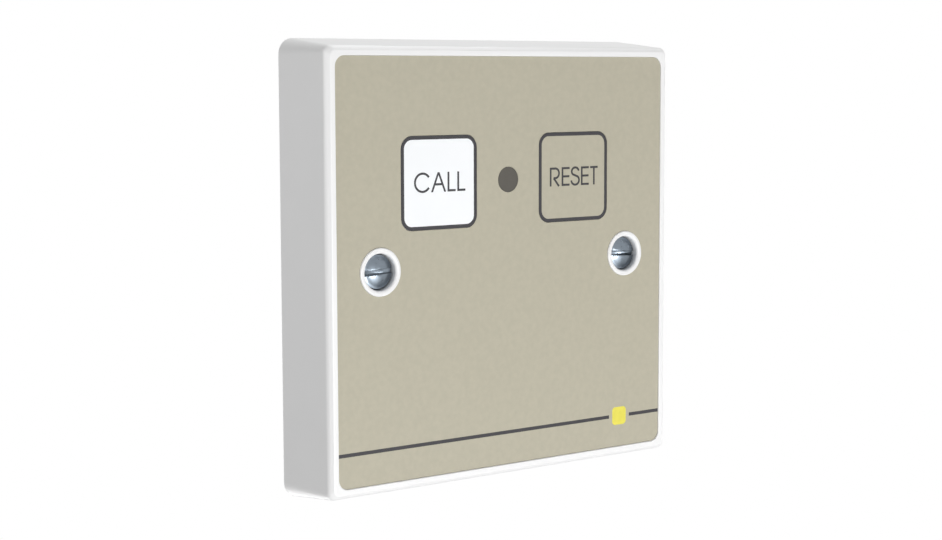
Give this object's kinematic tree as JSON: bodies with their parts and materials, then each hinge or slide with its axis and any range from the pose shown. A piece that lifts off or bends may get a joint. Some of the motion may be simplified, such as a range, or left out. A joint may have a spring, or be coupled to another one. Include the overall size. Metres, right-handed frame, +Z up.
{
  "type": "call point",
  "caption": "Square wall plate with a printed label, a call key and a reset key that press in, an indicator window, and its circuit board behind.",
  "frame": {"origin": "midway between the two fixing screws, in the plane of the wall that the plate's back rim meets", "axes": "+Y into the wall, along the fixing screws; +Z up; +X to the right seen from the front, which faces -Y"},
  "size_m": [0.0862, 0.0279, 0.0862],
  "materials": {
    "white_moulding": "moulded ABS, white, softly glossy",
    "label_film": "printed film, khaki beige, fine matte",
    "slate_ink": "printed ink, dark slate",
    "yellow_ink": "printed ink, yellow",
    "smoked_lens": "smoked acrylic, satin",
    "white_key": "moulded ABS with a white film face",
    "beige_key": "moulded ABS, khaki beige",
    "zinc_screw": "steel, bright zinc plated, bluish",
    "plated_steel": "steel, nickel plated",
    "spring_steel": "stainless spring steel",
    "tinned_metal": "tinned copper alloy",
    "board_laminate": "glass-epoxy laminate with a green mask",
    "terminal_moulding": "moulded nylon, green",
    "black_moulding": "moulded nylon, black",
    "black_epoxy": "moulded epoxy, black",
    "capacitor_sleeve": "shrunk sleeve on an aluminium can",
    "lamp_body": "red diffused epoxy"
  },
  "bodies": {
    "plate": {"front_plate": "white_moulding", "overlay_label": "label_film", "label_rule": "slate_ink", "label_accent": "yellow_ink", "indicator_lens": "smoked_lens", "status_led": "lamp_body", "status_led_leads": "tinned_metal", "circuit_board": "board_laminate", "terminal_body": "terminal_moulding", "terminal_clamps": "plated_steel", "terminal_screws": "plated_steel", "terminal_contacts": "tinned_metal", "controller_chip": "black_epoxy", "controller_legs": "tinned_metal", "reservoir_capacitor": "capacitor_sleeve", "capacitor_leads": "tinned_metal", "resistor_bodies": "black_epoxy", "resistor_ends": "tinned_metal", "diode_bodies": "black_epoxy", "diode_tabs": "tinned_metal", "board_screws": "plated_steel", "fixing_screw_left": "zinc_screw", "fixing_screw_right": "zinc_screw", "call_switch_base": "black_moulding", "call_switch_cover": "plated_steel", "call_switch_dome": "spring_steel", "call_switch_legs": "tinned_metal", "reset_switch_base": "black_moulding", "reset_switch_cover": "plated_steel", "reset_switch_dome": "spring_steel", "reset_switch_legs": "tinned_metal"},
    "call_key": {"call_key": "white_key", "call_key_border": "slate_ink", "call_switch_stem": "black_moulding"},
    "reset_key": {"reset_key": "beige_key", "reset_key_border": "slate_ink", "reset_switch_stem": "black_moulding"}
  },
  "joints": [
    {"name": "call_key_press", "type": "slide", "parent": "plate", "child": "call_key", "axis": [0, 1, 0], "range_m": [0, 0.00035], "stiffness_N_per_m": 2000, "springref_m": -0.0004, "deforming": ["call_switch_dome"]},
    {"name": "reset_key_press", "type": "slide", "parent": "plate", "child": "reset_key", "axis": [0, 1, 0], "range_m": [0, 0.00035], "stiffness_N_per_m": 2000, "springref_m": -0.0004, "deforming": ["reset_switch_dome"]}
  ]
}
